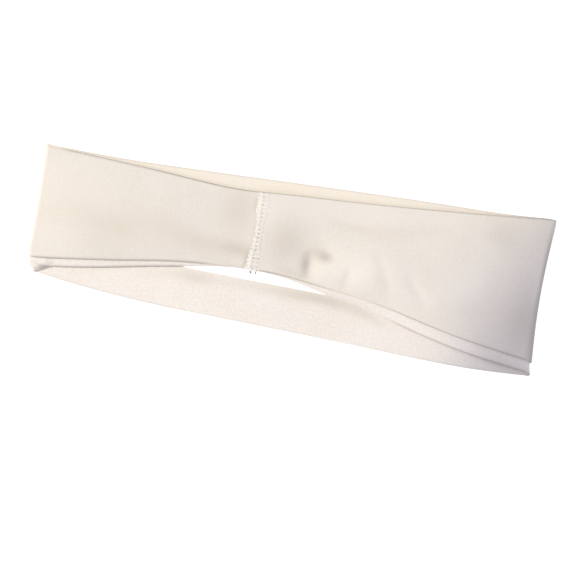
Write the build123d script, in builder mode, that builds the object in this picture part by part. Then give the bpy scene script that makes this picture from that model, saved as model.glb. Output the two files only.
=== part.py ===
from build123d import *

import math
import os

# A two-layer stretch-knit sports headband, lying collapsed on a flat surface.
# The far half lies on the surface, the near half lies above it, and the two
# halves meet in a soft fold at each end of X. Lengths are in millimetres.
# X runs along the band, Y across it, and Z up from the surface.

# Fabric
fabric = 0.8
layer_gap = 0.2
layers = 2 * fabric + layer_gap

# The loop seen from the side, along Y
band_length = 250.4
head_gap_at_folds = 6.4
head_gap_at_seam = 4.8
fold_radius = layers + head_gap_at_folds / 2
fold_height = 2 * fold_radius
seam_height = 2 * layers + head_gap_at_seam
fold_x = band_length / 2 - fold_radius

# Long edges seen from above, from the left fold to the right one. Each list
# starts and ends beyond the folds, so an edge runs right round them.
near_top_edge = [(-131, 31.8), (-90, 30.1), (-27, 26.9), (21, 29.9), (76, 34.1), (131, 39.5)]
far_top_edge = [(-131, 31.4), (-92, 32.0), (-8, 34.7), (75, 37.0), (131, 39.5)]
near_shell_edge = [
    (-131, -24.0),
    (-81, -17.4),
    (-27, -11.8),
    (0, -11.0),
    (43, -16.2),
    (100, -27.8),
    (131, -31.6),
]
near_lining_edge = [
    (-131, -31.8),
    (-108, -25.4),
    (-67, -17.9),
    (-27, -12.0),
    (0, -11.6),
    (44, -20.5),
    (87, -31.1),
    (131, -37.6),
]
far_shell_edge = [(-131, -24.0), (-78, -31.6), (-22, -35.6), (61, -37.4), (100, -35.6), (131, -31.6)]
far_lining_edge = [(-131, -29.6), (-78, -34.4), (-22, -36.7), (61, -38.9), (95, -39.3), (131, -37.6)]

# Ponytail opening through both layers of the far half
opening_length = 160
opening_width = 33
opening_centre = (17.5, -0.3)
opening_tilt = -1.0

# Seam that closes the loop: the shell's right end laps over its left end
seam_x = -16.2
seam_tilt = 1.3
seam_low = -12.0
seam_high = 27.2
lap_width = 6.2
lap_ramp = 3.0
lap_gap = 0.05
butt_gap = 0.3

# Stitching
thread = 0.3
thread_clearance = 0.03
stitch_pitch = 1.95
stitch_length = 1.6
needle_spacing = 2.6
needle_rows = {"left": -needle_spacing, "centre": 0, "right": needle_spacing}
cover_width = 5.8
looper_width = 5.8
seam_margin = 1.1
tail_length = 2.2
tail_droop = 25

# Heat-bond film between the layers
film_clearance = 0.02
film_width = 4.0
film_inset = 1.0

# Profiles are extruded this far each way across the band, then cut back by wider solids
reach = 60
cut_reach = 75

film_outer = fabric + film_clearance
film_inner = fabric + layer_gap - film_clearance
seam_length = seam_high - seam_low
seam_middle = (seam_high + seam_low) / 2
stitch_count = int((seam_length - 2 * seam_margin) / stitch_pitch)
lap_underside = seam_height + lap_gap
lap_top = lap_underside + fabric
looper_base = seam_height - layers - thread_clearance - thread
tilt_x = (math.cos(math.radians(seam_tilt)), math.sin(math.radians(seam_tilt)), 0)
tilt_y = (-tilt_x[1], tilt_x[0], 0)

# Plane across the seam, and planes of the stitches on its face and on its back
seam_section = Plane(origin=(seam_x, 0, 0), x_dir=tilt_x, z_dir=(tilt_x[1], -tilt_x[0], 0))
seam_face = Plane(origin=(seam_x, 0, lap_top), x_dir=tilt_x, z_dir=(0, 0, 1))
seam_cover = seam_face.offset(thread + thread_clearance)
seam_back = Plane(origin=(seam_x, 0, looper_base), x_dir=tilt_x, z_dir=(0, 0, 1))


def loop_section(outer_depth, inner_depth):
    """Side profile of the closed loop between two depths below its outer face."""
    with BuildSketch(Plane.XZ) as section:
        for depth, mode in ((outer_depth, Mode.ADD), (inner_depth, Mode.SUBTRACT)):
            fold_side = fold_x + fold_radius - depth
            top = fold_height - depth
            with BuildLine():
                Line((-fold_x, depth), (fold_x, depth))
                ThreePointArc((fold_x, depth), (fold_side, fold_radius), (fold_x, top))
                Spline(
                    (fold_x, top),
                    (seam_x, seam_height - depth),
                    (-fold_x, top),
                    tangents=((-1, 0), (-1, 0), (-1, 0)),
                )
                ThreePointArc((-fold_x, top), (-fold_side, fold_radius), (-fold_x, depth))
            make_face(mode=mode)
    return section.sketch


def outside(upper_edge, lower_edge):
    """All of the plan except what lies between two long edges, at the folds' middle height."""
    with BuildSketch(Plane.XY.offset(fold_radius)) as beyond:
        Rectangle(2 * band_length, 2 * cut_reach)
        with BuildLine():
            upper = Spline(*upper_edge)
            lower = Spline(*lower_edge)
            Line(upper @ 0, lower @ 0)
            Line(upper @ 1, lower @ 1)
        make_face(mode=Mode.SUBTRACT)
    return beyond.sketch


def opening_outline(margin):
    """Outline of the ponytail opening, grown by a margin."""
    with BuildSketch(Plane.XY) as outline:
        with Locations(opening_centre):
            SlotOverall(opening_length + 2 * margin, opening_width + 2 * margin, rotation=opening_tilt)
    return outline.sketch


def ladder(plane, width):
    """One continuous thread that crosses the seam once in each stitch."""
    side = (width - thread) / 2
    start = seam_middle - stitch_count * stitch_pitch / 2
    with BuildSketch(plane) as thread_path:
        with BuildLine():
            corners = []
            for rung in range(stitch_count + 1):
                rung_y = start + rung * stitch_pitch
                direction = (-1) ** rung
                corners += [(-direction * side, rung_y), (direction * side, rung_y)]
            Polyline(*corners)
        trace(line_width=thread)
    return thread_path.sketch


def moved(edge, shift):
    """A long edge moved across the band."""
    return [(x, y + shift) for x, y in edge]


with BuildPart() as shell:
    extrude(loop_section(0, fabric), amount=reach, both=True)
    # The lapped end, raised over the end below it and ramping down to the right
    with BuildSketch(seam_section):
        Polygon(
            (-lap_width / 2, lap_underside),
            (-lap_width / 2, lap_top),
            (lap_width / 2, lap_top),
            (lap_width / 2 + lap_ramp, seam_height),
            (lap_width / 2 + lap_ramp, seam_height - fabric / 2),
            (lap_width / 2 + butt_gap, seam_height - fabric / 2),
            (lap_width / 2 + butt_gap, lap_underside),
            align=None,
        )
    extrude(amount=reach, both=True)
    # The end of the lower lap
    with BuildSketch(seam_section):
        with Locations((lap_width / 2 + butt_gap / 2, seam_height)):
            Rectangle(butt_gap, 2 * fabric + 2 * lap_gap, align=(Align.CENTER, Align.MAX))
        with Locations((lap_width / 2 + butt_gap / 2, seam_height)):
            Rectangle(butt_gap, lap_gap, align=(Align.CENTER, Align.MIN))
    extrude(amount=reach, both=True, mode=Mode.SUBTRACT)
    extrude(outside(near_top_edge, near_shell_edge), amount=fold_height, mode=Mode.SUBTRACT)
    extrude(outside(far_top_edge, far_shell_edge), amount=-fold_height, mode=Mode.SUBTRACT)
    extrude(opening_outline(0), amount=layers, mode=Mode.SUBTRACT)
shell.part.label = "shell"

with BuildPart() as lining:
    extrude(loop_section(fabric + layer_gap, layers), amount=reach, both=True)
    # The two ends meet edge to edge under the lap
    with BuildSketch(seam_section):
        with Locations((0, seam_height - fabric - layer_gap / 2)):
            Rectangle(butt_gap, fabric + layer_gap, align=(Align.CENTER, Align.MAX))
    extrude(amount=reach, both=True, mode=Mode.SUBTRACT)
    extrude(outside(near_top_edge, near_lining_edge), amount=fold_height, mode=Mode.SUBTRACT)
    extrude(outside(far_top_edge, far_lining_edge), amount=-fold_height, mode=Mode.SUBTRACT)
    extrude(opening_outline(0), amount=layers, mode=Mode.SUBTRACT)
lining.part.label = "lining"

with BuildPart() as top_edge_bond_film:
    extrude(loop_section(film_outer, film_inner), amount=reach, both=True)
    for edge, height in ((near_top_edge, fold_height), (far_top_edge, -fold_height)):
        strip_top = moved(edge, -film_inset)
        strip_bottom = moved(edge, -film_inset - film_width)
        extrude(outside(strip_top, strip_bottom), amount=height, mode=Mode.SUBTRACT)
top_edge_bond_film.part.label = "top_edge_bond_film"

with BuildPart() as opening_edge_bond_film:
    with BuildSketch(Plane.XY.offset(film_outer)):
        with Locations(opening_centre):
            for margin, mode in ((film_inset + film_width, Mode.ADD), (film_inset, Mode.SUBTRACT)):
                SlotOverall(
                    opening_length + 2 * margin,
                    opening_width + 2 * margin,
                    rotation=opening_tilt,
                    mode=mode,
                )
    extrude(amount=film_inner - film_outer)
opening_edge_bond_film.part.label = "opening_edge_bond_film"

needle_threads = {}
for row, row_x in needle_rows.items():
    with BuildPart() as needle_thread:
        with BuildSketch(seam_face):
            with Locations((row_x, seam_middle)):
                with GridLocations(stitch_pitch, stitch_pitch, 1, stitch_count):
                    SlotOverall(stitch_length, thread, rotation=90)
        extrude(amount=thread)
    needle_thread.part.label = f"needle_thread_{row}"
    needle_threads[row] = needle_thread.part

with BuildPart() as cover_thread:
    extrude(ladder(seam_cover, cover_width), amount=thread)
cover_thread.part.label = "cover_thread"

with BuildPart() as looper_thread:
    extrude(ladder(seam_back, looper_width), amount=thread)
looper_thread.part.label = "looper_thread"

with BuildPart() as thread_tails:
    for side in (-1, 1):
        tail_x = side * needle_spacing / 2
        tail_start = seam_face.from_local_coords((tail_x, seam_low, thread))
        tail_axis = Vector(tilt_y).reverse().rotate(Axis((0, 0, 0), tilt_x), tail_droop)
        with BuildSketch(Plane(origin=tail_start, x_dir=tilt_x, z_dir=tail_axis)):
            Circle(thread / 2)
        extrude(amount=tail_length)
thread_tails.part.label = "thread_tails"

os.makedirs("parts", exist_ok=True)
export_step(shell.part, "parts/shell.step")
export_step(lining.part, "parts/lining.step")
export_step(top_edge_bond_film.part, "parts/top_edge_bond_film.step")
export_step(opening_edge_bond_film.part, "parts/opening_edge_bond_film.step")
for row, needle_part in needle_threads.items():
    export_step(needle_part, f"parts/needle_thread_{row}.step")
export_step(cover_thread.part, "parts/cover_thread.step")
export_step(looper_thread.part, "parts/looper_thread.step")
export_step(thread_tails.part, "parts/thread_tails.step")
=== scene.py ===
import math

import bpy
import numpy as np
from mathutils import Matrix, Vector


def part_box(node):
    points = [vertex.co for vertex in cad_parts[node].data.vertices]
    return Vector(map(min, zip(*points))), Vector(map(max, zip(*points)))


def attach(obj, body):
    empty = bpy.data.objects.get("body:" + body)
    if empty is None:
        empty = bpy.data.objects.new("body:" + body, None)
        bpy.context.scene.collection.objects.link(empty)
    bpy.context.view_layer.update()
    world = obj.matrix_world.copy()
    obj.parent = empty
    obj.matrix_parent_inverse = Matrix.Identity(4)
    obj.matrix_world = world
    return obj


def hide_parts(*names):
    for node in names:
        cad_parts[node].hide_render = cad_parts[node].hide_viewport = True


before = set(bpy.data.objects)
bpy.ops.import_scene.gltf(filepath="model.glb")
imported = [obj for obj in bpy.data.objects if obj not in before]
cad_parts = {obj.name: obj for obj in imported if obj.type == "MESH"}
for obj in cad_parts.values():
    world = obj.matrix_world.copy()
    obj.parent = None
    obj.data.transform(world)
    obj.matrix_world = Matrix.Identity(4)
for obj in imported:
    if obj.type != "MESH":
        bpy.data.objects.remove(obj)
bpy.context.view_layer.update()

# The band is worked out in millimetres and turned to metres when a mesh is made.
MM = 0.001
shell_low, shell_high = (np.array(corner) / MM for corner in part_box("shell"))
seam_low, seam_high = (np.array(corner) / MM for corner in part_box("needle_thread_centre"))

# Fabric: two knits of one thickness. A step is the distance between their middles, in the far half, and in
# the near half at a cut edge and away from one. AIR is left between fabrics that touch.
FABRIC = 0.7
HALF = FABRIC / 2
FAR_STEP = 0.76
EDGE_STEP = 0.74
OPEN_STEP = 1.02
AIR = 0.03

# Cut edges: how far from one the fabric starts to curl down, how far it drops, and its rounding
EDGE_CURL = 1.6
EDGE_DROP = 0.5
EDGE_ROUNDING = 0.22

# Folds at the two ends: how far each bulges past the flat part, how square it is, and over what distance the
# columns beside it bend to meet it
LEFT_REACH = 2.2
RIGHT_REACH = 3.4
FOLD_SQUARENESS = 0.8
FOLD_STEPS = 16
FOLD_BLEND = 24
FOLD_LEFT = shell_low[0] + HALF + LEFT_REACH
FOLD_RIGHT = shell_high[0] - HALF - RIGHT_REACH

# Tuck at the lower left corner: where the near lining's lower edge starts and ends its way down to the fold
TUCK_START = -111.5
TUCK_END = -124.0
TUCK_DROP = 3.9

# Grid: spacing of the columns in the plain parts, the wrinkled part, the seam and the lower left corner
COLUMN_STEP = 1.5
WRINKLE_STEP = 0.9
SEAM_STEP = 0.36
CORNER_STEP = 0.5
WRINKLES_END = 60.0
SEAM_SIDE = 9.0
CORNER_X = -108.0
TIP_STEPS = 14

# Rows of one strap, as distances from its two edges: they are close together there
CUT_EDGE_ROWS = (0.0, 0.08, 0.2, 0.36, 0.56, 0.8, 1.1, 1.45, 1.9, 2.6, 3.6)
INNER_EDGE_ROWS = (0.0, 0.12, 0.3, 0.55, 0.9, 1.4, 2.2, 3.4)
PLAIN_ROWS = 13

# Seam: a middle line that bows to the right, and three rows of needle stitches that draw together halfway up
SEAM_X = (seam_low[0] + seam_high[0]) / 2
SEAM_LOW = seam_low[1] - 1.4
SEAM_HIGH = seam_high[1] + 2.0
SEAM_LEAN = math.tan(math.radians(0.4))
SEAM_BOW = 0.7
SEAM_SHIFT = -0.35
NEEDLE_ROWS = (-2.5, 0.0, 2.5)
WAIST = 0.42
WAIST_Y = 7.5
WAIST_REACH = 8.2

# Lap: where the shell's upper end starts, where its lower end stops, and how the upper one comes down again
LAP_START = -2.3
UNDER_LAP_END = 2.4
LAP_RISE = FABRIC + 0.05
LAP_RAMP = 28.0

STITCHES = 19
STITCH_PITCH = (SEAM_HIGH - SEAM_LOW) / STITCHES

# Ponytail opening in the far half
OPENING_X = 17.5
OPENING_Y = -0.3
OPENING_HALF = 80.0
OPENING_RADIUS = 16.1
OPENING_SLOPE = math.tan(math.radians(-1.0))

# Long edges of the two halves, left to right
NEAR_TOP = [
    (-131, 31.9),
    (-90, 30.1),
    (-58, 28.3),
    (-27, 26.9),
    (-5, 28.3),
    (21, 29.9),
    (76, 34.1),
    (131, 39.6),
]
FAR_TOP = [
    (-131, 32.8),
    (-110, 31.9),
    (-92, 31.7),
    (-50, 32.7),
    (-8, 34.3),
    (34, 35.8),
    (76, 36.9),
    (100, 37.4),
    (131, 39.6),
]
NEAR_SHELL = [
    (-131, -24.2),
    (-81, -17.4),
    (-54, -13.2),
    (-27, -11.0),
    (0, -11.1),
    (14, -12.8),
    (43, -16.3),
    (72, -22.6),
    (100, -27.8),
    (131, -31.8),
]
NEAR_LINING = [
    (-131, -25.9),
    (-119, -25.9),
    (-111, -25.6),
    (-102, -24.4),
    (-94, -23.1),
    (-67, -17.9),
    (-47, -14.3),
    (-27, -11.2),
    (-2, -11.7),
    (8, -13.4),
    (22, -16.5),
    (44, -20.9),
    (72, -28.2),
    (101, -33.8),
    (131, -37.6),
]
FAR_SHELL = [
    (-131, -22.6),
    (-120, -23.2),
    (-100, -27.6),
    (-60, -33.0),
    (0, -35.8),
    (61, -37.0),
    (100, -34.6),
    (131, -31.0),
]
FAR_LINING = [
    (-131, -29.0),
    (-120, -30.3),
    (-78, -34.5),
    (-22, -36.6),
    (61, -39.1),
    (98, -39.6),
    (131, -37.5),
]

# Height of the near shell along the middle of the band, which sags where it crosses the opening
NEAR_HEIGHT = [
    (-131, 3.8),
    (-121, 4.9),
    (-106, 6.6),
    (-90, 7.3),
    (-70, 7.1),
    (-45, 6.3),
    (-20, 5.7),
    (-6, 5.9),
    (12, 5.6),
    (30, 6.3),
    (50, 7.2),
    (70, 8.1),
    (88, 7.5),
    (106, 5.4),
    (121, 3.9),
    (131, 3.2),
]


def curve_through(points):
    """A natural cubic spline through points, as a function of x."""
    xs, ys = (np.array(values, float) for values in zip(*points))
    count = len(xs)
    gap = np.diff(xs)
    matrix, right = np.eye(count), np.zeros(count)
    for i in range(1, count - 1):
        matrix[i, i - 1 : i + 2] = gap[i - 1], 2 * (gap[i - 1] + gap[i]), gap[i]
        right[i] = 6 * ((ys[i + 1] - ys[i]) / gap[i] - (ys[i] - ys[i - 1]) / gap[i - 1])
    bend = np.linalg.solve(matrix, right)

    def value(x):
        x = np.clip(np.asarray(x, float), xs[0], xs[-1])
        i = np.clip(np.searchsorted(xs, x) - 1, 0, count - 2)
        h = gap[i]
        a, b = (xs[i + 1] - x) / h, (x - xs[i]) / h
        return a * ys[i] + b * ys[i + 1] + ((a**3 - a) * bend[i] + (b**3 - b) * bend[i + 1]) * h * h / 6

    return value


near_top = curve_through(NEAR_TOP)
far_top = curve_through(FAR_TOP)
near_shell = curve_through(NEAR_SHELL)
near_lining = curve_through(NEAR_LINING)
far_shell = curve_through(FAR_SHELL)
far_lining = curve_through(FAR_LINING)
near_height = curve_through(NEAR_HEIGHT)


def smooth(x, low, high):
    """0 below low, 1 above high, and a smooth step between."""
    t = np.clip((np.asarray(x, float) - low) / (high - low), 0, 1)
    return t * t * (3 - 2 * t)


def rounded(distance, width):
    """0 at a cut edge, rising like a quarter circle to 1 at width from it."""
    t = np.clip(distance / width, 0, 1)
    return np.sqrt(1 - (1 - t) ** 2)


def bump(x, y, centre, radii, angle, height):
    """A soft elliptical hill, or a hollow where height is negative."""
    c, s = math.cos(math.radians(angle)), math.sin(math.radians(angle))
    dx, dy = x - centre[0], y - centre[1]
    along, across = (dx * c + dy * s) / radii[0], (dy * c - dx * s) / radii[1]
    return height * np.exp(-(along**2) - across**2)


def crease(x, y, start, end, left, right, depth):
    """A valley from start to end, depth deep, with a left flank of one width and a right one of another."""
    start, end = np.array(start, float), np.array(end, float)
    length = np.linalg.norm(end - start)
    c, s = (end - start) / length
    along = ((x - start[0]) * c + (y - start[1]) * s) / length
    across = (x - start[0]) * s - (y - start[1]) * c
    flank = np.where(across < 0, np.exp(-((across / right) ** 2)), np.exp(-((across / left) ** 2)))
    return -depth * flank * np.clip(4 * along * (1 - along), 0, None) ** 0.8


# Hills and hollows of the near half: centre, radii, angle, height
NEAR_BUMPS = [
    ((8.5, 2.5), (13.0, 9.0), -8, -2.0),
    ((16.5, 3.0), (5.0, 3.6), -20, -0.6),
    ((44.0, -3.0), (15.0, 10.0), 8, 1.25),
    ((41.0, -6.5), (6.0, 8.0), -12, 0.3),
    ((55.0, -4.0), (5.0, 8.5), 20, 0.35),
    ((-42.0, -1.0), (24.0, 5.5), -9, -0.45),
    ((-84.0, 0.0), (15.0, 6.0), -6, -0.35),
    ((-20.0, 18.0), (7.0, 7.0), 0, -0.35),
    ((111.0, -11.0), (15.0, 17.0), 0, -0.8),
    ((108.0, 11.0), (12.0, 4.0), 6, 0.3),
]

# Creases of the near half: start, end, width of the left flank and of the right one, depth
NEAR_CREASES = [
    ((10.4, 4.0), (11.2, -11.5), 3.0, 4.6, 1.35),
    ((31.4, -1.0), (28.6, -13.5), 2.6, 3.4, 0.5),
    ((41.0, 9.5), (52.0, -11.5), 2.4, 2.6, 0.34),
    ((57.5, 0.0), (71.5, -15.5), 2.4, 2.0, 0.52),
    ((12.0, 21.5), (47.0, 15.5), 2.2, 3.2, 0.4),
    ((44.0, 16.0), (80.0, 23.5), 2.6, 3.4, 0.28),
    ((-64.0, 8.0), (-18.0, -5.5), 3.6, 4.2, 0.3),
]


def seam_line(y):
    """How far the seam's middle line is from SEAM_X at y."""
    t = (y - SEAM_LOW) / (SEAM_HIGH - SEAM_LOW)
    return SEAM_SHIFT + SEAM_BOW * 4 * t * (1 - t) + SEAM_LEAN * (y - WAIST_Y)


def seam_width(y):
    """The seam's width at y, as a share of its full width: it is narrower halfway up."""
    return 1 - WAIST * np.exp(-(((y - WAIST_Y) / WAIST_REACH) ** 4))


def opening_rim(x):
    """Half the height of the ponytail opening at x, and 0 outside it."""
    past = np.clip(np.abs(x - OPENING_X) - (OPENING_HALF - OPENING_RADIUS), 0, OPENING_RADIUS)
    return np.sqrt(np.clip(OPENING_RADIUS**2 - past**2, 0, None))


def opening_middle(x):
    """y of the ponytail opening's middle line at x."""
    return OPENING_Y + OPENING_SLOPE * (x - OPENING_X)


def tuck(x, y):
    """How deep a point is in the tuck of the near lining above its lower left corner, from 0 to 1."""
    return smooth(-25.2 - y, 0, 0.9) * smooth(x, -121.5, -116.0) * (1 - smooth(x, -113.0, -110.0))


def far_z(x, y):
    """Middle of the far shell, which lies in slight waves and curls up at its lower left corner."""
    lift = 0.16 + 0.08 * np.sin(x / 13.0 + y / 9.0) + 0.08 * np.sin(x / 29.0 - y / 15.0 + 1.0)
    past_bend = 0.92 * (y + 29.4) - 0.4 * (x + 120.5)
    at_corner = (1 - smooth(x, -116.5, -110.5)) * (1 - smooth(y, -24.5, -21.0))
    return HALF + AIR + lift + 1.1 * np.clip(past_bend, 0, 1.3) * at_corner


def contact_z(x, y):
    """Middle of a single fabric that lies on the far lining."""
    return far_z(x, y) + FAR_STEP + FABRIC + AIR


def near_relief(x, y):
    """Hills, hollows and creases of the near half, and the fabric drawn in by the seam."""
    relief = 0.07 * np.sin(x / 9.1 + 0.6 * np.sin(y / 11.0) + 1.2)
    relief = relief + 0.06 * np.sin(x / 5.3 - y / 14.0 + 0.4)
    relief = relief + 0.05 * np.sin(y / 5.2 + x / 23.0 + 2.1)
    for centre, radii, angle, height in NEAR_BUMPS:
        relief = relief + bump(x, y, centre, radii, angle, height)
    for start, end, left, right, depth in NEAR_CREASES:
        relief = relief + crease(x, y, start, end, left, right, depth)
    u = x - SEAM_X - seam_line(y)
    pucker = np.exp(-np.abs(u) / 3.6) * (0.6 + 0.4 * np.sin(y / 3.1 + 0.8))
    relief = relief + 0.12 * pucker * np.cos(math.pi * y / STITCH_PITCH + 0.3 * u)
    beside_lap = (u / seam_width(y) + 2.9) / 1.2
    return relief - (0.14 + 0.42 * smooth(np.abs(y - 8.0), 8, 14)) * np.exp(-(beside_lap**2))


def near_lining_z(x, y):
    """Middle of the near lining: on the far half at its edges, and crowned between them."""
    high, low = near_top(x), near_lining(x)
    above, below = np.clip(high - y, 0, None), np.clip(y - low, 0, None)
    inward = np.clip(np.minimum(above, below) / ((high - low) / 2), 0, 1)
    crown = 1 - (1 - inward) ** 2.4
    base = contact_z(x, y)
    over_strap = np.maximum(smooth(x, 14, 34), 1 - smooth(x, -60, -40))
    hold = smooth(above, 0, 7) * (1 - over_strap * (1 - smooth(below, 0, 7)))
    rise = near_height(x) - OPEN_STEP - base - EDGE_DROP
    lift = EDGE_DROP * rounded(below, EDGE_CURL) * (1 - 0.7 * tuck(x, y))
    return np.maximum(base + lift + rise * crown + near_relief(x, y) * hold, HALF + AIR)


def near_shell_z(x, y):
    """Middle of the near shell, without the lap: its edges curl down on what is below them."""
    step = EDGE_STEP + (OPEN_STEP - EDGE_STEP) * rounded(y - near_shell(x), EDGE_CURL)
    curl = (step + EDGE_DROP) * (1 - rounded(near_top(x) - y, EDGE_CURL + 0.3))
    return near_lining_z(x, y) + step - curl


def needle_holes(u, y):
    """How near a point is to a needle hole, from 0 to 1: the outer rows are tight only towards the ends."""
    on_row = np.clip(np.cos(2 * math.pi * (y - SEAM_LOW) / STITCH_PITCH), 0, 1) ** 2
    left = 0.35 + 0.65 * (1 - smooth(y, -3, 6)) + 0.3 * smooth(y, 18, 24)
    right = 0.3 + 0.6 * (1 - smooth(y, -7, 0))
    rows = [
        tight * np.exp(-(((u - row * seam_width(y)) / 0.5) ** 2))
        for tight, row in zip((left, 1.0, right), NEEDLE_ROWS)
    ]
    return on_row * np.clip(sum(rows), 0, 1)


def lap_height(u, y):
    """How far the lapped end of the shell stands over the end below it."""
    wide = seam_width(y)
    rise = LAP_RISE * (1 - smooth(u, 2.0, LAP_RAMP))
    rise = rise - 0.25 * (1 - rounded(u / wide - LAP_START, 0.9))
    for row, pull in zip(NEEDLE_ROWS, (0.03, 0.12, 0.03)):
        rise = rise - pull * np.exp(-(((u - row * wide) / 0.42) ** 2))
    return rise - 0.35 * needle_holes(u, y)


def strap_rows(width, outer_first):
    """Distances of a strap's rows from its outer edge, or from its inner one."""
    outer, inner = np.array(CUT_EDGE_ROWS), np.array(INNER_EDGE_ROWS)
    fit = min(1.0, width / (2.2 * (outer[-1] + inner[-1])))
    outer, inner = outer * fit, inner * fit
    middle = np.linspace(outer[-1], width - inner[-1], PLAIN_ROWS + 2)[1:-1]
    rows = np.concatenate([outer, middle, width - inner[::-1]])
    return rows if outer_first else width - rows[::-1]


def two_straps(low, middle_low, middle_high, high):
    """y of a column's rows: the lower strap and then the upper one."""
    lower = low + strap_rows(middle_low - low, True)
    upper = middle_high + strap_rows(high - middle_high, False)
    return np.concatenate([lower, upper])


STRAP = len(CUT_EDGE_ROWS) + PLAIN_ROWS + len(INNER_EDGE_ROWS)


def spaced(start, end, step):
    """Evenly spaced numbers from start to end, both kept, about step apart."""
    return np.linspace(start, end, max(2, round(abs(end - start) / step) + 1))


def right_columns(start):
    """Distances of the near half's columns from the seam, from start to the right fold."""
    parts = [
        spaced(start, SEAM_SIDE, SEAM_STEP),
        spaced(SEAM_SIDE, WRINKLES_END, WRINKLE_STEP),
        spaced(WRINKLES_END, FOLD_RIGHT - SEAM_X, COLUMN_STEP),
    ]
    return np.concatenate([parts[0][:-1], parts[1][:-1], parts[2]])


def left_columns(start):
    """Distances of the near half's columns from the seam, from the left fold to start."""
    parts = [
        spaced(FOLD_LEFT - SEAM_X, CORNER_X - SEAM_X, CORNER_STEP),
        spaced(CORNER_X - SEAM_X, -SEAM_SIDE, COLUMN_STEP),
        spaced(-SEAM_SIDE, start, SEAM_STEP),
    ]
    return np.concatenate([parts[0][:-1], parts[1][:-1], parts[2]])


def far_columns():
    """x of the far half's columns, right to left, close together at the opening's round ends."""
    left_tip, right_tip = OPENING_X - OPENING_HALF, OPENING_X + OPENING_HALF
    turn = 1 - np.cos(np.linspace(0, math.pi / 2, TIP_STEPS))
    right_end = right_tip - OPENING_RADIUS * turn
    left_end = left_tip + OPENING_RADIUS * turn[::-1]
    parts = [
        spaced(FOLD_RIGHT, right_tip, COLUMN_STEP),
        right_end,
        spaced(right_end[-1], left_end[0], COLUMN_STEP),
        left_end,
        spaced(left_tip, CORNER_X, COLUMN_STEP),
        spaced(CORNER_X, FOLD_LEFT, CORNER_STEP),
    ]
    return np.concatenate([part[:-1] for part in parts[:-1]] + [parts[-1]])


def fold_line(side, y, inner):
    """x where the flat part ends at y: the folds are a little hollow, and the lining's corners step in."""
    hollow = math.pi * np.clip((y + 31) / 66, 0, 1)
    if side > 0:
        return FOLD_RIGHT - 0.1 - 1.45 * np.sin(hollow) + inner * (1.3 * (1 - smooth(y, -38.0, -31.5)) + 0.1)
    both = 1.5 * (1 - smooth(y, -24.5, -19.0))
    corner = 3.4 * (1 - smooth(y, -30.5, -25.5)) - 1.0
    return FOLD_LEFT - 0.1 + 0.8 * np.sin(hollow) + both + inner * corner


def bend_to_folds(x, y, inner):
    """x of a column, moved near a fold so that it meets the fold's own line."""
    right = smooth(x, FOLD_RIGHT - FOLD_BLEND, FOLD_RIGHT) * (fold_line(1, y, inner) - FOLD_RIGHT)
    left = (1 - smooth(x, FOLD_LEFT, FOLD_LEFT + FOLD_BLEND)) * (fold_line(-1, y, inner) - FOLD_LEFT)
    return x + right + left


def fold_columns(side, near, far, reach):
    """The columns that go round a fold from the near half's last column to the far half's first."""
    found = []
    for angle in np.linspace(0, math.pi, FOLD_STEPS)[1:-1]:
        t = (1 - math.cos(angle)) / 2
        out = math.sin(angle) ** FOLD_SQUARENESS
        up = math.copysign(abs(math.cos(angle)) ** FOLD_SQUARENESS, math.cos(angle))
        x = near[0] * (1 - t) + far[0] * t + side * reach * out
        y = near[1] + (far[1] - near[1]) * t**0.4
        z = (near[2] + far[2]) / 2 + (near[2] - far[2]) / 2 * up
        found.append((x, y, z))
    return found


def loop_columns(inner, near_y, far_y, near_height_at, far_height_at, starts):
    """Columns of points right round the loop, from the seam to the right, and back to it from the left."""

    def near_column(u):
        middle = SEAM_X + u
        y = near_y(middle)
        narrowed = u * (seam_width(y) - 1) * (1 - smooth(abs(u), 3, 8))
        x = bend_to_folds(middle + narrowed + seam_line(y) * (1 - smooth(abs(u), 5, 30)), y, inner)
        return x, y, near_height_at(x, y)

    def far_column(middle):
        y = far_y(middle)
        x = bend_to_folds(np.full_like(y, middle), y, inner)
        return x, y, far_height_at(x, y)

    right = [near_column(u) for u in right_columns(starts[0])]
    far = [far_column(x) for x in far_columns()]
    left = [near_column(u) for u in left_columns(starts[1])]
    less = inner * OPEN_STEP
    right_fold = fold_columns(1, right[-1], far[0], RIGHT_REACH - less)
    left_fold = fold_columns(-1, left[0], far[-1], LEFT_REACH - less)[::-1]
    return right, right_fold, far, left_fold, left


def mesh_piece(name, grid, skipped_row=None, wear=None):
    """A mesh from a grid of points in millimetres, with a UV map in metres along and across the fabric.
    The last argument is two numbers for each point, kept in a second map: how dark it is, from wear and
    painted shade, and lighter below 0 as painted light; and how stained it is, from stains and painted shade."""
    columns, width = grid.shape[:2]
    points = grid.reshape(-1, 3)
    rows = [r for r in range(width - 1) if r != skipped_row]
    faces = [
        (c * width + r, (c + 1) * width + r, (c + 1) * width + r + 1, c * width + r + 1)
        for c in range(columns - 1)
        for r in rows
    ]
    mesh = bpy.data.meshes.new(name)
    mesh.from_pydata((points * MM).tolist(), [], faces)
    middle = grid[:, width // 2]
    run = np.concatenate([[0], np.cumsum(np.linalg.norm(np.diff(middle, axis=0), axis=1))])
    corners = np.zeros(len(mesh.loops), np.int64)
    mesh.loops.foreach_get("vertex_index", corners)
    uv = np.stack([run[corners // width], points[corners, 1]], 1) * MM
    mesh.uv_layers.new(name="knit").data.foreach_set("uv", uv.astype(np.float32).ravel())
    if wear is not None:
        wear_and_shade = wear.reshape(-1, 2)[corners]
        mesh.uv_layers.new(name="wear").data.foreach_set("uv", wear_and_shade.astype(np.float32).ravel())
    piece = bpy.data.objects.new(name, mesh)
    bpy.context.scene.collection.objects.link(piece)
    return piece


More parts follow.
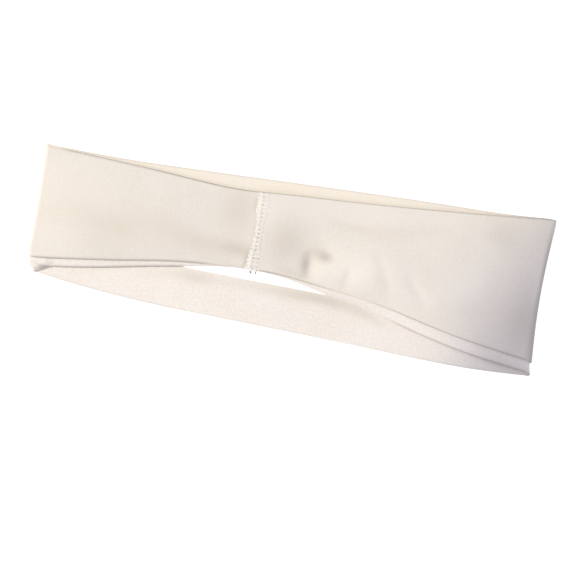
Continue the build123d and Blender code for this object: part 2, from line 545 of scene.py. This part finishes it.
def apply_modifiers(piece):
    """Turns the piece's modifiers into its mesh."""
    bpy.context.view_layer.update()
    graph = bpy.context.evaluated_depsgraph_get()
    mesh = bpy.data.meshes.new_from_object(piece.evaluated_get(graph))
    piece.modifiers.clear()
    piece.data = mesh
    mesh.polygons.foreach_set("use_smooth", [True] * len(mesh.polygons))


def thicken(piece, thickness, rounding):
    """Welds a middle surface, and gives it its thickness and rounded edges."""
    weld = piece.modifiers.new("weld", "WELD")
    weld.merge_threshold = 0.002 * MM
    solid = piece.modifiers.new("thickness", "SOLIDIFY")
    solid.thickness = thickness * MM
    solid.offset = 0
    if rounding:
        edges = piece.modifiers.new("edges", "BEVEL")
        edges.width = rounding * MM
        edges.segments = 2
        edges.limit_method = "ANGLE"
        edges.angle_limit = math.radians(60)
    apply_modifiers(piece)


def shell_near_y(x):
    """y of the near shell's rows at x."""
    low, high = near_shell(x) + 0.1, near_top(x) - HALF
    return two_straps(low, (low + high) / 2, (low + high) / 2, high)


def lining_near_y(x):
    """y of the near lining's rows at x."""
    drop = TUCK_DROP * np.clip((TUCK_START - x) / (TUCK_START - TUCK_END), 0, 1)
    low, high = near_lining(x) + 0.1 - drop, near_top(x) - 1.4
    return two_straps(low, (low + high) / 2, (low + high) / 2, high)


def far_straps(x, low, high):
    """y of a far column's rows, which part round the opening and run to the middle of the folds."""
    rim = opening_rim(x)
    to_left_fold = 1 - smooth(x, FOLD_LEFT, OPENING_X - OPENING_HALF)
    to_right_fold = smooth(x, OPENING_X + OPENING_HALF, FOLD_RIGHT)
    to_fold = max(to_left_fold, to_right_fold)
    middle = opening_middle(x) * (1 - to_fold) + (low + high) / 2 * to_fold
    return two_straps(low, middle - rim, middle + rim, high)


def shell_far_y(x):
    """y of the far shell's rows at x."""
    return far_straps(x, far_shell(x), far_top(x) - 0.5)


def lining_far_y(x):
    """y of the far lining's rows at x."""
    return far_straps(x, far_lining(x), far_top(x))


def far_lining_z(x, y):
    """Middle of the far lining."""
    return far_z(x, y) + FAR_STEP


# Soft marks: centre, radii, angle, strength. The shell's stains are yellowish, partly real yellowing and
# partly painted shade in its hollows and creases. The grey marks are painted shade, and one below 0 is
# painted light that raises the cloth's tone. On the lining, the grey marks and the yellowish ones are painted
# shadow, mostly along the near half's lower edge.
SHELL_STAINS_AND_SHADE = [
    ((-106.0, 1.0), (17.0, 11.0), 0, 0.4),
    ((-68.0, 4.0), (17.0, 8.0), 0, 0.35),
    ((33.0, 17.2), (17.0, 1.3), -6, 0.3),
    ((48.0, 19.0), (28.0, 3.4), 6, 0.3),
    ((-3.0, 9.0), (8.0, 6.0), -25, 0.5),
    ((-5.0, 0.0), (6.0, 6.0), 0, 0.35),
    ((14.0, 2.5), (6.0, 3.6), 10, 0.6),
    ((8.5, -4.0), (2.2, 4.5), 10, 0.5),
    ((-38.0, -3.0), (22.0, 5.0), -8, 0.6),
    ((-82.0, -2.5), (14.0, 5.5), -4, 0.5),
    ((-27.0, 18.0), (9.0, 12.0), 0, 0.9),
    ((-24.0, -2.5), (6.5, 3.2), 0, 0.5),
    ((88.0, -12.0), (10.0, 7.0), 10, 0.35),
    ((4.0, -9.3), (7.0, 1.0), -5, 0.7),
]
SHELL_PAINTED_SHADE_AND_LIGHT = [
    ((17.6, 1.4), (4.2, 2.6), -10, 0.68),
    ((8.8, -4.0), (2.2, 4.0), 0, 0.26),
    ((98.0, 27.0), (12.0, 11.0), 0, 0.27),
    ((117.0, -12.0), (8.0, 16.0), 0, 0.3),
    ((-26.0, -1.8), (9.0, 3.2), -5, 0.26),
    ((0.0, -7.5), (6.0, 1.6), 0, 0.1),
    ((20.0, 25.0), (48.0, 7.5), 4, -1.0),
    ((-12.0, 17.0), (7.0, 9.0), 0, -0.9),
    ((41.0, -2.0), (13.0, 9.0), -8, -1.0),
    ((58.0, -3.0), (6.0, 7.0), 0, -0.9),
    ((-23.0, -8.0), (9.0, 1.8), -4, -0.9),
    ((88.0, -6.0), (8.0, 19.0), -12, -1.0),
]
LINING_PAINTED_SHADE = [
    ((10.0, -19.0), (22.0, 3.0), -1, 0.44),
    ((43.0, -23.0), (9.0, 2.4), -18, 0.2),
    ((28.0, -20.5), (16.0, 2.8), -14, 0.22),
    ((112.0, -35.0), (14.0, 3.6), -10, 0.32),
    ((-43.0, -19.2), (9.0, 3.2), 0, 0.34),
    ((-24.0, -18.5), (12.0, 2.4), 0, 0.1),
    ((-60.0, -20.5), (10.0, 2.0), 12, 0.12),
]
LINING_PAINTED_SHADOW = [
    ((6.0, -18.8), (18.0, 2.8), -2, 1.0),
    ((30.0, -20.8), (13.0, 2.4), -16, 0.9),
    ((-44.0, -19.0), (10.0, 3.2), 0, 1.0),
    ((-60.0, -23.0), (14.0, 3.0), 8, 0.3),
]

# Where the near half's lower edges are left light: x where the painted dark edge starts to fade, where it is
# gone, where it starts again, and where it is full again
SHELL_EDGE_FADE = (-46.0, -30.0, -17.0, -8.0)
LINING_EDGE_FADE = (-53.0, -47.0, 44.0, 62.0)

# How dark the edges are in each part of the loop, from wear and painted contact shade: near right, right
# fold, far, left fold, near left
NEAR_WEAR_AND_SHADE = 1.0
FOLD_WEAR_AND_SHADE = 0.8
FAR_WEAR_AND_SHADE = 0.4
EDGE_WEAR_AND_SHADE = (NEAR_WEAR_AND_SHADE, FOLD_WEAR_AND_SHADE, FAR_WEAR_AND_SHADE, FOLD_WEAR_AND_SHADE, NEAR_WEAR_AND_SHADE)
EDGE_WEAR_AND_SHADE_WIDTH = 0.6


def edge_wear_and_shade(x, y, share, lightening):
    """How dark a column's points are by its two long edges, from wear and painted contact shade: the lower
    one less near x = 34, and the upper one more near x = -50 and hardly at the left end."""
    low = np.exp(-(((y - y[0]) / EDGE_WEAR_AND_SHADE_WIDTH) ** 2)) * (0.9 - 0.6 * np.exp(-(((x - 34) / 22) ** 2)))
    low = low * (1 - share * smooth(x, lightening[0], lightening[1]) * (1 - smooth(x, lightening[2], lightening[3])))
    high = np.exp(-(((y[-1] - y) / EDGE_WEAR_AND_SHADE_WIDTH) ** 2)) * (0.85 + 0.3 * np.exp(-(((x + 50) / 25) ** 2)))
    high = high * (0.2 + 0.9 * smooth(x, -121, -111))
    return share * (low + high)


def shell_wear_and_shade(x, y, share):
    """How dark and how stained a column of the shell is: worn and painted dark edges, painted shade on the
    right fold and in the needle holes, painted shade and painted light in patches, and stains that are partly
    painted shade.
    """
    stain_and_shade = np.zeros_like(y)
    # Painted shade along the right fold, where it turns away from the light: wider and darker towards its
    # lower end
    to_fold = (fold_line(1, y, 0) + RIGHT_REACH - x) / (1 - 0.4 * smooth(y, -16, 8))
    fold_shade = (1 - smooth(to_fold, 0.2, 4.6)) * (0.85 - 0.55 * smooth(y, 22, 37))
    wear_and_shade = np.maximum(edge_wear_and_shade(x, y, share, SHELL_EDGE_FADE), fold_shade)
    if share == NEAR_WEAR_AND_SHADE:
        # Painted shade in the needle holes
        wear_and_shade = wear_and_shade + needle_holes(x - SEAM_X - seam_line(y), y)
        edge = np.clip(wear_and_shade, 0, 1)
        # Painted shade and painted light in soft patches, kept off the dark edges; then stains, partly real
        # and partly painted shade
        for centre, radii, angle, strength in SHELL_PAINTED_SHADE_AND_LIGHT:
            wear_and_shade = wear_and_shade + bump(x, y, centre, radii, angle, strength) * (1 - edge)
        for centre, radii, angle, strength in SHELL_STAINS_AND_SHADE:
            stain_and_shade = stain_and_shade + bump(x, y, centre, radii, angle, strength)
    return wear_and_shade, stain_and_shade


def lining_wear_and_shade(x, y, share):
    """How dark and how stained a column of the lining is: worn and painted dark edges, painted shadow in the
    tuck and under the near half's lower edge, and a warmer top strip in the far half.
    """
    stain_and_shade = np.zeros_like(y)
    wear_and_shade = edge_wear_and_shade(x, y, share, LINING_EDGE_FADE)
    if share == NEAR_WEAR_AND_SHADE:
        # Painted shadow in the tuck above the near lining's lower left corner
        wear_and_shade = np.maximum(wear_and_shade, 0.9 * tuck(x, y))
    else:
        stain_and_shade = 0.8 * smooth(y, far_top(x) - 16, far_top(x) - 3)
        # Warm painted shadow under the near half's lower edge
        for centre, radii, angle, strength in LINING_PAINTED_SHADOW:
            stain_and_shade = stain_and_shade + bump(x, y, centre, radii, angle, strength)
    # Painted shade, mostly along the near half's lower edge
    for centre, radii, angle, strength in LINING_PAINTED_SHADE:
        wear_and_shade = wear_and_shade + bump(x, y, centre, radii, angle, strength)
    return wear_and_shade, stain_and_shade


def wear_and_shade_map(parts, column_wear_and_shade):
    """How dark, from wear and painted shade, and how stained each point of a layer is."""
    found = []
    for part, share in zip(parts, EDGE_WEAR_AND_SHADE):
        for x, y, _ in part:
            wear_and_shade, stain_and_shade = column_wear_and_shade(x, y, share)
            found.append(np.stack([np.clip(wear_and_shade, -1, 1), np.clip(stain_and_shade, 0, 1)], 1))
    return np.array(found)


def grid_of(parts):
    """One grid of points from the parts of a loop."""
    return np.array(sum(parts, [])).transpose(0, 2, 1)


# Shell, whose right end laps over its left end at the seam
parts = loop_columns(0, shell_near_y, shell_far_y, near_shell_z, far_z, (LAP_START, UNDER_LAP_END))
shell_wear_and_shade_map = wear_and_shade_map(parts, shell_wear_and_shade)
lapped = [(x, y, z + lap_height(x - SEAM_X - seam_line(y), y)) for x, y, z in parts[0]]
shell = mesh_piece("shell_fabric", grid_of([lapped, *parts[1:]]), STRAP - 1, shell_wear_and_shade_map)
thicken(shell, FABRIC, EDGE_ROUNDING)

# Lining, whose two ends meet under the seam
parts = loop_columns(1, lining_near_y, lining_far_y, near_lining_z, far_lining_z, (0.15, -0.15))
lining = mesh_piece("lining_fabric", grid_of(parts), STRAP - 1, wear_and_shade_map(parts, lining_wear_and_shade))
thicken(lining, FABRIC, EDGE_ROUNDING)


# Bond films between the two fabrics: one along the top edge, and one round the opening
FILM = 0.06
FILM_WIDTH = 4.0
FILM_INSET = 2.2
FILM_ROWS = 5
OPENING_FILM_INSET = 1.2
TURN_STEPS = 25


def film_rows(high):
    """y of a film's rows below an edge."""
    return np.linspace(high - FILM_INSET - FILM_WIDTH, high - FILM_INSET, FILM_ROWS)


def near_film_rows(x):
    """y of the top film's rows in the near half."""
    return film_rows(near_top(x))


def far_film_rows(x):
    """y of the top film's rows in the far half."""
    return film_rows(far_top(x))


def near_film_z(x, y):
    """Middle of the top film in the near half."""
    return near_lining_z(x, y) + OPEN_STEP / 2


def far_film_z(x, y):
    """Middle of either film in the far half."""
    return far_z(x, y) + FAR_STEP / 2


def opening_film_grid():
    """Rings of points round the opening, between the two fabrics."""
    straight = OPENING_HALF - OPENING_RADIUS
    turn = np.linspace(-math.pi / 2, math.pi / 2, TURN_STEPS)
    run = spaced(-straight, straight, 3.0)[1:-1]
    rings = []
    for out in np.linspace(OPENING_FILM_INSET, OPENING_FILM_INSET + FILM_WIDTH, FILM_ROWS):
        radius = OPENING_RADIUS + out
        right_x, right_y = straight + radius * np.cos(turn), radius * np.sin(turn)
        top_y = np.full(len(run), radius)
        x = np.concatenate([right_x, run[::-1], -right_x, run, right_x[:1]])
        y = np.concatenate([right_y, top_y, -right_y, -top_y, right_y[:1]])
        x, y = OPENING_X + x, opening_middle(OPENING_X + x) + y
        rings.append(np.stack([x, y, far_film_z(x, y)], 1))
    return np.array(rings).transpose(1, 0, 2)


parts = loop_columns(0.5, near_film_rows, far_film_rows, near_film_z, far_film_z, (0.3, -0.3))
top_film = mesh_piece("top_edge_film", grid_of(parts))
thicken(top_film, FILM, 0)
opening_film = mesh_piece("opening_edge_film", opening_film_grid())
thicken(opening_film, FILM, 0)


# Threads: radius of the needle and looper threads, of the cover threads, and of the two thread ends. A cover
# thread is COVER_WIDTH times as wide as it is high.
THREAD = 0.2
COVER = 0.12
COVER_WIDTH = 2.4
LEFT_TAIL = 0.5
RIGHT_TAIL = 0.36

# How far the crossing threads swing from the seam's middle, how much further on the right, and how far they
# sink in where they turn
SWING = 2.75
RIGHT_SPREAD = 0.24
SINK = 0.18

# The thread ends: how far above the seam's lower end they start, and how far down they run
TAIL_START = 0.9
TAIL_RUN = 2.3


def tube(name, path, radius, wear_and_shade, flatness=1.0, sides=8):
    """A thread along a path of points in millimetres, flatness times as wide as it is high, with narrow ends.
    The fourth argument is painted shade: how dark each of its points is, from 0 to 1."""
    path = np.array(path, float)
    tangent = np.gradient(path, axis=0)
    tangent /= np.linalg.norm(tangent, axis=1)[:, None]
    angles = 2 * math.pi * np.arange(sides) / sides
    rings = []
    for i, (point, along) in enumerate(zip(path, tangent)):
        side = np.cross(along, (0.0, 0.0, 1.0))
        side /= np.linalg.norm(side)
        up = np.cross(side, along)
        ring = np.outer(flatness * np.cos(angles), side) + np.outer(np.sin(angles), up)
        reach = radius * (0.55 if i in (0, len(path) - 1) else 1.0)
        rings.append(point + reach * ring)
    points = np.concatenate(rings)
    faces = [
        (i * sides + j, i * sides + (j + 1) % sides, (i + 1) * sides + (j + 1) % sides, (i + 1) * sides + j)
        for i in range(len(path) - 1)
        for j in range(sides)
    ]
    last = (len(path) - 1) * sides
    faces.append(tuple(range(sides))[::-1])
    faces.append(tuple(range(last, last + sides)))
    mesh = bpy.data.meshes.new(name)
    mesh.from_pydata((points * MM).tolist(), [], faces)
    run = np.concatenate([[0], np.cumsum(np.linalg.norm(np.diff(path, axis=0), axis=1))])
    corners = np.zeros(len(mesh.loops), np.int64)
    mesh.loops.foreach_get("vertex_index", corners)
    round_it = (corners % sides) / sides * 2 * math.pi * radius
    uv = np.stack([run[corners // sides], round_it], 1) * MM
    mesh.uv_layers.new(name="knit").data.foreach_set("uv", uv.astype(np.float32).ravel())
    wear = np.stack([wear_and_shade[corners // sides], np.zeros(len(corners))], 1)
    mesh.uv_layers.new(name="wear").data.foreach_set("uv", wear.astype(np.float32).ravel())
    mesh.polygons.foreach_set("use_smooth", [True] * len(mesh.polygons))
    piece = bpy.data.objects.new(name, mesh)
    bpy.context.scene.collection.objects.link(piece)
    return piece


def over_lap(u, y):
    """A point on top of the lap at a distance u from the seam line."""
    x = SEAM_X + seam_line(y) + u
    return x, near_shell_z(x, y) + lap_height(u, y) + HALF


def under_lining(u, y):
    """A point on the underside of the near lining."""
    x = SEAM_X + seam_line(y) + u
    return x, near_lining_z(x, y) - HALF


def stitch_steps(fineness):
    """Counts of stitches along the seam, with fineness steps to each stitch."""
    return np.linspace(0.25, STITCHES - 0.25, STITCHES * fineness + 1)


def needle_path(row):
    """A row of straight stitches, which dips into the fabric once a stitch, with painted shade at the needle
    holes.
    """
    steps = stitch_steps(14)
    y = SEAM_LOW + steps * STITCH_PITCH
    u = row * seam_width(y) + 0.06 * np.sin(steps * 2.3 + row)
    x, z = over_lap(u, y)
    dip = 0.4 * np.clip(np.cos(2 * math.pi * steps), 0, 1) ** 3
    return np.stack([x, y, z + 0.09 - 0.03 * row - dip], 1), needle_holes(u, y)


def lattice_path(phase, lift, surface, stitches_each_way):
    """A thread that swings from side to side of the seam, once across in a number of stitches, with painted
    shade at the needle holes.
    """
    steps = stitch_steps(36)
    swing = np.cos(math.pi * (steps / stitches_each_way + phase))
    y = SEAM_LOW + steps * STITCH_PITCH
    reach = SWING * seam_width(y) * (1 + 0.07 * np.sin(2.7 * steps + 5 * phase))
    u = reach * np.sign(swing) * np.abs(swing) ** 0.8
    u = u * (1 + RIGHT_SPREAD * (u > 0) * smooth(seam_width(y), 0.7, 1.0))
    y = y + 0.28 * STITCH_PITCH * np.sin(2 * math.pi * (steps / stitches_each_way + phase))
    y = y + 0.16 * np.sin(1.9 * steps + 3 * phase) + 0.14 * np.sin(4.3 * steps + phase)
    x, z = surface(u, y)
    return np.stack([x, y, z + lift - SINK * swing**6], 1), needle_holes(u, y)


def tail_path(start, side):
    """A short thread end that hangs past the lower edge and curls down, with painted shade that darkens it
    towards its free end.
    """
    t = np.linspace(0, 1, 12)
    y = SEAM_LOW + TAIL_START - TAIL_RUN * t
    u = start + 0.35 * side * np.sin(2.6 * t)
    x, top = over_lap(u[:1], y[:1])
    return np.stack([x[0] + u - u[0], y, top[0] + 0.12 - 1.1 * t**1.5], 1), smooth(t, 0.25, 0.6)


def thread(name, path_and_shade, radius, flatness=1.0):
    """A thread along a path that comes with its painted shade."""
    path, wear_and_shade = path_and_shade
    return tube(name, path, radius, wear_and_shade, flatness)


needles = [
    (thread(f"needle_stitches_{name}", needle_path(row), THREAD), f"needle_thread_{name}")
    for name, row in zip(("left", "centre", "right"), NEEDLE_ROWS)
]
covers = [
    thread("cover_stitches_a", lattice_path(0.0, 0.02, over_lap, 0.5), COVER, COVER_WIDTH),
    thread("cover_stitches_b", lattice_path(1.0, 0.07, over_lap, 1), COVER, COVER_WIDTH),
]
looper = thread("looper_stitches", lattice_path(0.0, -0.1, under_lining, 1), THREAD)
tails = [
    thread("thread_tail_left", tail_path(0.2, -1), LEFT_TAIL),
    thread("thread_tail_right", tail_path(2.1, 1), RIGHT_TAIL),
]


# Materials
class Nodes:
    """Short calls for building one material's nodes."""

    def __init__(self, name):
        self.material = bpy.data.materials.new(name)
        self.material.use_nodes = True
        self.tree = self.material.node_tree
        self.shader = self.tree.nodes["Principled BSDF"]

    def add(self, kind, **inputs):
        node = self.tree.nodes.new(kind)
        for name, value in inputs.items():
            self.feed(node.inputs[name.replace("_", " ")], value)
        return node

    def feed(self, socket, value):
        if isinstance(value, bpy.types.NodeSocket):
            self.tree.links.new(value, socket)
        else:
            socket.default_value = value

    def maths(self, kind, a, b=0.0):
        node = self.tree.nodes.new("ShaderNodeMath")
        node.operation = kind
        self.feed(node.inputs[0], a)
        self.feed(node.inputs[1], b)
        return node.outputs[0]

    def total(self, *terms):
        found = terms[0]
        for term in terms[1:]:
            found = self.maths("ADD", found, term)
        return found

    def uv_map(self, name):
        node = self.tree.nodes.new("ShaderNodeUVMap")
        node.uv_map = name
        return node.outputs["UV"]

    def noise(self, vector, detail):
        node = self.add("ShaderNodeTexNoise", Vector=vector, Scale=1.0, Detail=detail)
        return node.outputs["Fac"]

    def mixed(self, factor, first, second):
        node = self.tree.nodes.new("ShaderNodeMix")
        node.data_type = "RGBA"
        colours = [socket for socket in node.inputs if socket.type == "RGBA"]
        self.feed(node.inputs[0], factor)
        self.feed(colours[0], first)
        self.feed(colours[1], second)
        return next(socket for socket in node.outputs if socket.type == "RGBA")

    def ramp(self, factor, low, low_colour, high, high_colour):
        node = self.add("ShaderNodeValToRGB", Fac=factor)
        first, second = node.color_ramp.elements
        first.position, first.color = low, (*low_colour, 1)
        second.position, second.color = high, (*high_colour, 1)
        return node.outputs["Color"]


def knit_material(name, colour, shade, stain_and_shade, rib, fuzz_share, grain_share, sheen):
    """A fine knit: ribs across the band, loops along each rib, loose fibres, grain, and an uneven tone
    between shade and colour. rib is in millimetres, and a noise's scale is in features to a metre."""
    n = Nodes(name)
    place = n.add("ShaderNodeSeparateXYZ", Vector=n.uv_map("knit"))

    def at_scale(along, across):
        scaled = n.add(
            "ShaderNodeCombineXYZ",
            X=n.maths("MULTIPLY", place.outputs["X"], along),
            Y=n.maths("MULTIPLY", place.outputs["Y"], across),
        )
        return scaled.outputs[0]

    ribs = n.maths("SINE", n.maths("MULTIPLY", place.outputs["X"], 2 * math.pi / (rib * MM)))
    loops = n.maths("SINE", n.maths("MULTIPLY", place.outputs["Y"], 2 * math.pi / (0.7 * rib * MM)))
    streaks = n.noise(at_scale(1100, 160), 2.0)
    courses = n.noise(at_scale(150, 1300), 2.0)
    cloud = n.noise(at_scale(38, 38), 3.0)
    fuzz = n.noise(at_scale(2300, 2300), 2.0)
    grain = n.noise(at_scale(720, 820), 3.0)
    tone = n.total(
        n.maths("MULTIPLY", streaks, 0.30),
        n.maths("MULTIPLY", courses, 0.18),
        n.maths("MULTIPLY", cloud, 0.37),
        n.maths("MULTIPLY", fuzz, 0.15),
        n.maths("MULTIPLY", n.maths("SUBTRACT", grain, 0.5), grain_share),
    )
    # The wear map's first value darkens the cloth towards a darker colour, for wear and painted shade, and
    # below 0 raises its tone, as painted light; its second mixes in the stain colour, for stains and painted
    # shade.
    wear_and_shade = n.add("ShaderNodeSeparateXYZ", Vector=n.uv_map("wear"))
    lightening = n.maths("MAXIMUM", n.maths("MULTIPLY", wear_and_shade.outputs["X"], -1.0), 0.0)
    cloth = n.ramp(n.maths("ADD", tone, n.maths("MULTIPLY", lightening, 0.18)), 0.34, shade, 0.66, colour)
    cloth = n.mixed(n.maths("MULTIPLY", wear_and_shade.outputs["Y"], n.maths("ADD", cloud, 0.2)), cloth, (*stain_and_shade, 1))
    wear_and_shade_colour = tuple(0.55 * channel for channel in shade) + (1,)
    cloth = n.mixed(n.maths("MULTIPLY", wear_and_shade.outputs["X"], 0.9), cloth, wear_and_shade_colour)
    n.feed(n.shader.inputs["Base Color"], cloth)
    relief = n.total(
        n.maths("MULTIPLY", ribs, 0.45),
        n.maths("MULTIPLY", loops, 0.3),
        n.maths("MULTIPLY", fuzz, fuzz_share),
        n.maths("MULTIPLY", streaks, 0.8),
    )
    bumps = n.add("ShaderNodeBump", Strength=0.4, Distance=0.05 * MM, Height=relief)
    n.feed(n.shader.inputs["Normal"], bumps.outputs["Normal"])
    n.feed(n.shader.inputs["Roughness"], n.maths("ADD", n.maths("MULTIPLY", fuzz, 0.14), 0.78))
    n.shader.inputs["Sheen Weight"].default_value = sheen
    n.shader.inputs["Sheen Roughness"].default_value = 0.4
    n.shader.inputs["Specular IOR Level"].default_value = 0.2
    return n.material


def thread_material(name, colour):
    """Twisted sewing thread: plies that wind round it."""
    n = Nodes(name)
    mapped = n.add("ShaderNodeMapping", Vector=n.uv_map("knit"), Scale=(2600, 2600, 1))
    plies = n.add("ShaderNodeTexWave", Vector=mapped.outputs["Vector"], Scale=1.0, Distortion=1.0)
    plies.bands_direction = "DIAGONAL"
    shade = tuple(0.93 * channel for channel in colour)
    wear_and_shade = n.add("ShaderNodeSeparateXYZ", Vector=n.uv_map("wear"))
    cotton = n.ramp(plies.outputs["Fac"], 0.1, shade, 0.7, colour)
    # Painted shade: the thread darkens towards this colour at the needle holes and down a thread end
    thread_shade_colour = tuple(0.42 * channel for channel in colour) + (1,)
    n.feed(n.shader.inputs["Base Color"], n.mixed(wear_and_shade.outputs["X"], cotton, thread_shade_colour))
    bumps = n.add("ShaderNodeBump", Strength=0.5, Distance=0.04 * MM, Height=plies.outputs["Fac"])
    n.feed(n.shader.inputs["Normal"], bumps.outputs["Normal"])
    n.shader.inputs["Roughness"].default_value = 0.6
    n.shader.inputs["Sheen Weight"].default_value = 0.2
    return n.material


def film_material(name):
    """Thin milky bond film with a fine pebbled face."""
    n = Nodes(name)
    mapped = n.add("ShaderNodeMapping", Vector=n.uv_map("knit"), Scale=(1500, 1500, 1))
    pebbles = n.noise(mapped.outputs["Vector"], 3.0)
    n.feed(n.shader.inputs["Base Color"], n.ramp(pebbles, 0.3, (0.74, 0.71, 0.66), 0.7, (0.84, 0.82, 0.78)))
    bumps = n.add("ShaderNodeBump", Strength=0.3, Distance=0.03 * MM, Height=pebbles)
    n.feed(n.shader.inputs["Normal"], bumps.outputs["Normal"])
    n.shader.inputs["Roughness"].default_value = 0.45
    return n.material


MATERIALS = {
    "shell_knit": knit_material(
        "shell_cloth",
        colour=(0.895, 0.83, 0.75),
        shade=(0.83, 0.76, 0.66),
        stain_and_shade=(0.75, 0.665, 0.54),
        rib=0.8,
        fuzz_share=0.5,
        grain_share=0.42,
        sheen=0.1,
    ),
    "lining_knit": knit_material(
        "lining_cloth",
        colour=(0.97, 0.905, 0.835),
        shade=(0.91, 0.83, 0.74),
        stain_and_shade=(0.98, 0.89, 0.73),
        rib=0.9,
        fuzz_share=1.4,
        grain_share=0.95,
        sheen=0.15,
    ),
    "sewing_thread": thread_material("thread", (0.955, 0.91, 0.84)),
    "bond_film": film_material("film"),
}


def finish_piece(piece, slot, node):
    """Gives a piece the material of its slot, ties it to the body, and hides the CAD node that it stands for.
    """
    piece.data.materials.clear()
    piece.data.materials.append(MATERIALS[slot])
    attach(piece, "root")
    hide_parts(node)


finish_piece(shell, "shell_knit", "shell")
finish_piece(lining, "lining_knit", "lining")
finish_piece(top_film, "bond_film", "top_edge_bond_film")
finish_piece(opening_film, "bond_film", "opening_edge_bond_film")
for piece, node in needles:
    finish_piece(piece, "sewing_thread", node)
for piece in covers:
    finish_piece(piece, "sewing_thread", "cover_thread")
finish_piece(looper, "sewing_thread", "looper_thread")
for piece in tails:
    finish_piece(piece, "sewing_thread", "thread_tails")

# Stage, light and camera, with lengths in metres
FLOOR_SIZE = 12.0
FLOOR_GREY = 0.45
FLOOR_GLOW = 0.8
WORLD_COLOUR = (0.98, 0.98, 1.1)
WORLD_STRENGTH = 0.62
CAMERA_HEIGHT = 0.6
CAMERA_X = 0.0035
CAMERA_Y = -0.0172
CAMERA_TURN = 10
VIEW_WIDTH = 0.2825
SENSOR = 36.0

bpy.ops.mesh.primitive_plane_add(size=FLOOR_SIZE, location=(0, 0, 0))
floor = bpy.context.object
floor.name = "floor"
paper = Nodes("floor")
paper.shader.inputs["Base Color"].default_value = (FLOOR_GREY, FLOOR_GREY, FLOOR_GREY, 1)
paper.shader.inputs["Roughness"].default_value = 0.9
paper.shader.inputs["Specular IOR Level"].default_value = 0.0
paper.shader.inputs["Emission Color"].default_value = (1, 1, 1, 1)
paper.shader.inputs["Emission Strength"].default_value = FLOOR_GLOW
floor.data.materials.append(paper.material)

world = bpy.data.worlds.new("studio")
bpy.context.scene.world = world
world.use_nodes = True
sky = world.node_tree.nodes["Background"]
sky.inputs["Color"].default_value = (*WORLD_COLOUR, 1)
sky.inputs["Strength"].default_value = WORLD_STRENGTH


def soft_spot(name, place, target, radius, energy, colour, cone, blend):
    """A spot lamp that points at target. cone is its beam in degrees, and blend how soft its edge is."""
    data = bpy.data.lights.new(name, "SPOT")
    data.shadow_soft_size = radius
    data.energy = energy
    data.color = colour
    data.spot_size = math.radians(cone)
    data.spot_blend = blend
    light = bpy.data.objects.new(name, data)
    light.location = place
    light.rotation_euler = (Vector(target) - Vector(place)).to_track_quat("-Z", "Y").to_euler()
    bpy.context.scene.collection.objects.link(light)


# A warm light from the left, whose beam ends across the right end, and a faint cool light on that end
soft_spot(
    "key",
    place=(-2.0, 0.12, 1.6),
    target=(-0.3967, 0.0977, 0.0),
    radius=0.011,
    energy=158.5,
    colour=(1.0, 0.97, 0.83),
    cone=16.37,
    blend=0.07,
)
soft_spot(
    "cool_fill",
    place=(0.9, -0.5, 0.9),
    target=(0.123, -0.024, 0.0),
    radius=0.05,
    energy=11.5,
    colour=(0.06, 0.26, 1.0),
    cone=3.2,
    blend=1.0,
)

camera_data = bpy.data.cameras.new("camera")
camera_data.sensor_width = SENSOR
camera_data.lens = SENSOR * CAMERA_HEIGHT / VIEW_WIDTH
camera = bpy.data.objects.new("camera", camera_data)
bpy.context.scene.collection.objects.link(camera)
camera.location = (CAMERA_X, CAMERA_Y, CAMERA_HEIGHT)
camera.rotation_euler = (0, 0, math.radians(CAMERA_TURN))
bpy.context.scene.camera = camera
bpy.context.scene.view_settings.view_transform = "Standard"
